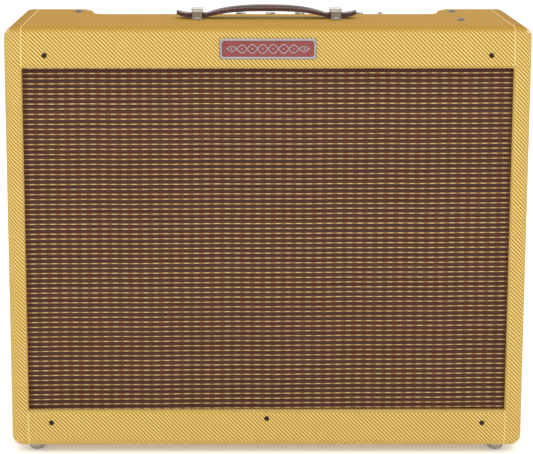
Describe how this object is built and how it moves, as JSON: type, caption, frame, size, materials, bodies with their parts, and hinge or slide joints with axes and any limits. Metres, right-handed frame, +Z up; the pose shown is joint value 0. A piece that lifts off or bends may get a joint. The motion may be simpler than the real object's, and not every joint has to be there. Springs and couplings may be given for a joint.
{
  "type": "guitar amplifier",
  "caption": "Guitar combo amplifier: tweed-covered wooden box with a recessed grille, leather handle, top control panel, open back and speakers set diagonally.",
  "frame": {"origin": "on the floor under the middle of the bounding box", "axes": "+Z up, +X to the right seen from the front, the grille faces -Y"},
  "size_m": [0.61, 0.2692, 0.5276],
  "materials": {
    "pine": "raw pine",
    "baffle_ply": "plywood",
    "tweed": "twill tweed, lacquered",
    "grille": "woven grille cloth with gold lines",
    "leather": "stitched brown leather",
    "spring_steel": "flat band",
    "nickel": "nickel plate",
    "dark_screw": "darkened steel",
    "plate": "red enamel field in a plated rim",
    "chassis_chrome": "chrome plate",
    "steel": "zinc-plated steel",
    "black_phenolic": "moulded phenolic",
    "red_jewel": "cut red jewel",
    "eyelet_board": "waxed fibre board",
    "component": "moulded and waxed parts",
    "can": "capacitor cans",
    "socket": "moulded socket",
    "tube_glass": "clear glass",
    "electrode": "carbonised plate metal",
    "transformer": "black enamel",
    "basket": "hammered grey paint",
    "magnet": "grey painted cover",
    "gasket": "pressed fibre",
    "cone": "ribbed paper cone",
    "suspension": "varnished cloth",
    "lead": "two-core lead",
    "rubber": "moulded rubber"
  },
  "bodies": {
    "cabinet": {"cabinet_top": "pine", "cabinet_bottom": "pine", "cabinet_left": "pine", "cabinet_right": "pine", "front_upper_rail": "pine", "front_lower_rail": "pine", "baffle_board": "baffle_ply", "grille_cloth": "grille", "back_cleats": "pine", "tweed_cover": "tweed", "upper_back_panel": "tweed", "lower_back_panel": "tweed", "back_panel_screws": "nickel", "front_screws": "dark_screw", "glide_feet": "nickel", "handle_brackets": "nickel", "handle_screws": "nickel", "nameplate": "plate", "nameplate_nails": "nickel", "chassis": "chassis_chrome", "chassis_bolts": "nickel", "transformer_bracket": "steel", "potentiometers": "steel", "input_jacks": "steel", "toggle_switches": "steel", "pilot_bezel": "nickel", "pilot_jewel": "red_jewel", "fuse_holder": "black_phenolic", "circuit_board": "eyelet_board", "board_components": "component", "filter_capacitors": "can", "tube_sockets": "socket", "preamp_tubes": "tube_glass", "power_tubes": "tube_glass", "rectifier_tubes": "tube_glass", "tube_bases": "black_phenolic", "tube_electrodes": "electrode", "power_transformer": "transformer", "output_transformer": "transformer", "choke": "transformer", "speaker_baskets": "basket", "speaker_magnets": "magnet", "speaker_gaskets": "gasket", "speaker_bolts": "dark_screw", "speaker_suspensions": "suspension", "speaker_lead": "lead", "cord_gland": "rubber"},
    "handle": {"handle_lower_strap": "leather", "handle_upper_pad": "leather", "handle_core": "spring_steel"},
    "standby_switch": {"standby_lever": "nickel"},
    "power_switch": {"power_lever": "nickel"},
    "fuse": {"fuse_cap": "black_phenolic"},
    "left_cone": {"left_speaker_cone": "cone"},
    "right_cone": {"right_speaker_cone": "cone"},
    "pointer_knob_1": {"knob_1": "black_phenolic"},
    "pointer_knob_2": {"knob_2": "black_phenolic"},
    "pointer_knob_3": {"knob_3": "black_phenolic"},
    "pointer_knob_4": {"knob_4": "black_phenolic"},
    "pointer_knob_5": {"knob_5": "black_phenolic"}
  },
  "joints": [
    {"name": "knob_1_turn", "type": "hinge", "parent": "cabinet", "child": "pointer_knob_1", "pos_m": [-0.03, 0.07275, 0.49395], "axis": [0, 0, 1], "range_deg": [-150, 150]},
    {"name": "knob_2_turn", "type": "hinge", "parent": "cabinet", "child": "pointer_knob_2", "pos_m": [0.0066, 0.07275, 0.49395], "axis": [0, 0, 1], "range_deg": [-150, 150]},
    {"name": "knob_3_turn", "type": "hinge", "parent": "cabinet", "child": "pointer_knob_3", "pos_m": [0.0432, 0.07275, 0.49395], "axis": [0, 0, 1], "range_deg": [-150, 150]},
    {"name": "knob_4_turn", "type": "hinge", "parent": "cabinet", "child": "pointer_knob_4", "pos_m": [0.0798, 0.07275, 0.49395], "axis": [0, 0, 1], "range_deg": [-150, 150]},
    {"name": "knob_5_turn", "type": "hinge", "parent": "cabinet", "child": "pointer_knob_5", "pos_m": [0.1164, 0.07275, 0.49395], "axis": [0, 0, 1], "range_deg": [-150, 150]},
    {"name": "standby_flip", "type": "hinge", "parent": "cabinet", "child": "standby_switch", "pos_m": [0.143, 0.07275, 0.49445], "axis": [1, 0, 0], "range_deg": [-24, 0]},
    {"name": "power_flip", "type": "hinge", "parent": "cabinet", "child": "power_switch", "pos_m": [-0.06, 0.07275, 0.49445], "axis": [1, 0, 0], "range_deg": [0, 24]},
    {"name": "fuse_cap_turn", "type": "hinge", "parent": "cabinet", "child": "fuse", "pos_m": [0.198, 0.07275, 0.49405], "axis": [0, 0, 1], "range_deg": [0, 60]},
    {"name": "handle_lift", "type": "slide", "parent": "cabinet", "child": "handle", "axis": [0, 0, 1], "range_m": [0, 0.003]},
    {"name": "left_cone_travel", "type": "slide", "parent": "cabinet", "child": "left_cone", "axis": [0, 1, 0], "range_m": [-0.002, 0.002], "stiffness_N_per_m": 2000, "deforming": ["speaker_suspensions"]},
    {"name": "right_cone_travel", "type": "slide", "parent": "cabinet", "child": "right_cone", "axis": [0, 1, 0], "range_m": [-0.002, 0.002], "stiffness_N_per_m": 2000, "deforming": ["speaker_suspensions"]}
  ]
}
